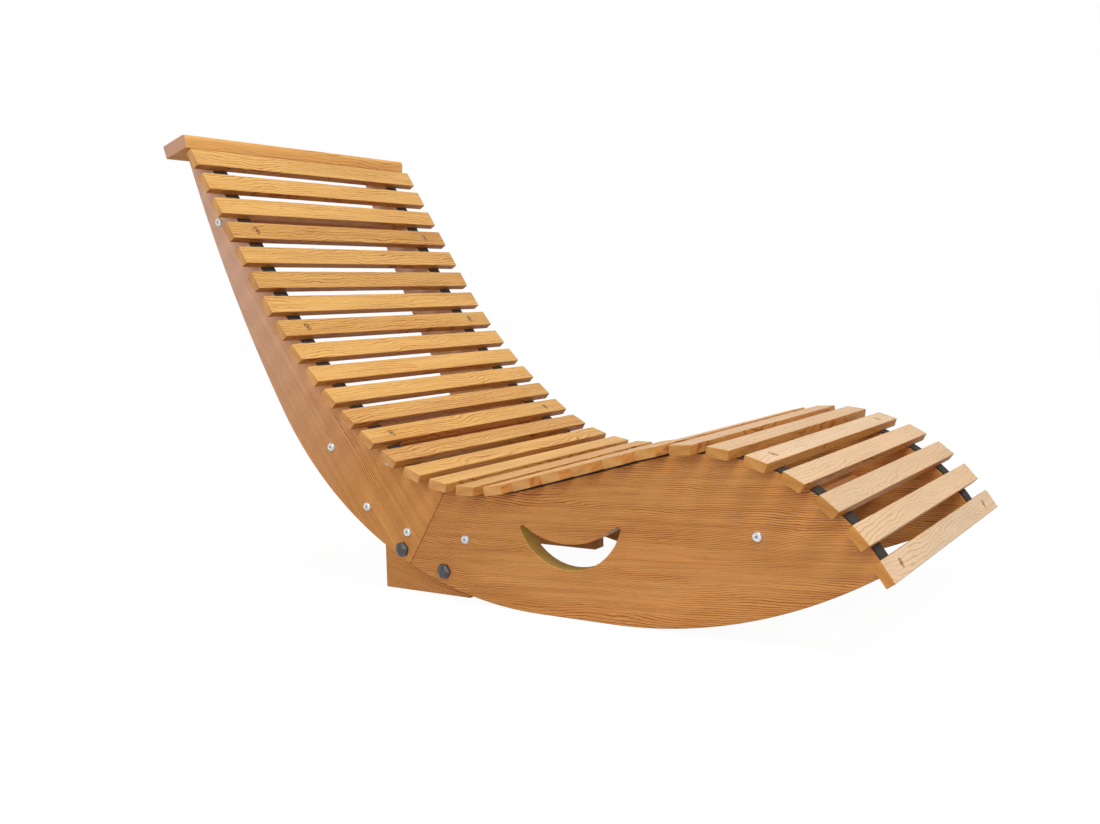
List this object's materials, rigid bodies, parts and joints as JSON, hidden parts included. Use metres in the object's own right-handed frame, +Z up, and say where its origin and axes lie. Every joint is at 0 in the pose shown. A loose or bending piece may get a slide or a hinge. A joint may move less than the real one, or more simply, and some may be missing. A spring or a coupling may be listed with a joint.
{
  "type": "outdoor rocking lounger",
  "caption": "Low rocking lounger: wooden slats on webbing straps over two curved side frames with moon-shaped hand holes, a headrest board and stop blocks behind the runners.",
  "frame": {"origin": "on the floor, at the middle of the bounding box's base", "axes": "+X to the foot end, +Y to the sitter's left, +Z up"},
  "size_m": [1.3, 0.6, 0.7823],
  "materials": {
    "slat_wood": "satin oiled wood",
    "plank_wood": "satin oiled wood",
    "inner_wood": "satin oiled wood",
    "webbing": "woven, black",
    "silver": "bright plated",
    "black_steel": "satin black"
  },
  "bodies": {
    "root": {"slat_01": "slat_wood", "slat_02": "slat_wood", "slat_03": "slat_wood", "slat_04": "slat_wood", "slat_05": "slat_wood", "slat_06": "slat_wood", "slat_07": "slat_wood", "slat_08": "slat_wood", "slat_09": "slat_wood", "slat_10": "slat_wood", "slat_11": "slat_wood", "slat_12": "slat_wood", "slat_13": "slat_wood", "slat_14": "slat_wood", "slat_15": "slat_wood", "slat_16": "slat_wood", "slat_17": "slat_wood", "slat_18": "slat_wood", "slat_19": "slat_wood", "slat_20": "slat_wood", "slat_21": "slat_wood", "slat_22": "slat_wood", "slat_23": "slat_wood", "slat_24": "slat_wood", "slat_25": "slat_wood", "slat_26": "slat_wood", "slat_27": "slat_wood", "slat_28": "slat_wood", "slat_29": "slat_wood", "slat_30": "slat_wood", "headrest_board": "slat_wood", "right_back_plank": "plank_wood", "right_seat_plank": "plank_wood", "right_stop_block": "plank_wood", "right_joint_plate": "inner_wood", "right_strap": "webbing", "right_upper_rail_bolt": "silver", "right_lower_rail_bolt": "silver", "right_front_rail_bolt": "silver", "right_plate_back_bolt": "silver", "right_plate_mid_bolt": "silver", "right_plate_seat_bolt": "silver", "right_rear_block_bolt": "black_steel", "right_front_block_bolt": "black_steel", "left_back_plank": "plank_wood", "left_seat_plank": "plank_wood", "left_stop_block": "plank_wood", "left_joint_plate": "inner_wood", "left_strap": "webbing", "left_upper_rail_bolt": "silver", "left_lower_rail_bolt": "silver", "left_front_rail_bolt": "silver", "left_plate_back_bolt": "silver", "left_plate_mid_bolt": "silver", "left_plate_seat_bolt": "silver", "left_rear_block_bolt": "black_steel", "left_front_block_bolt": "black_steel", "upper_rail": "inner_wood", "lower_rail": "inner_wood", "front_rail": "inner_wood"}
  },
  "joints": []
}
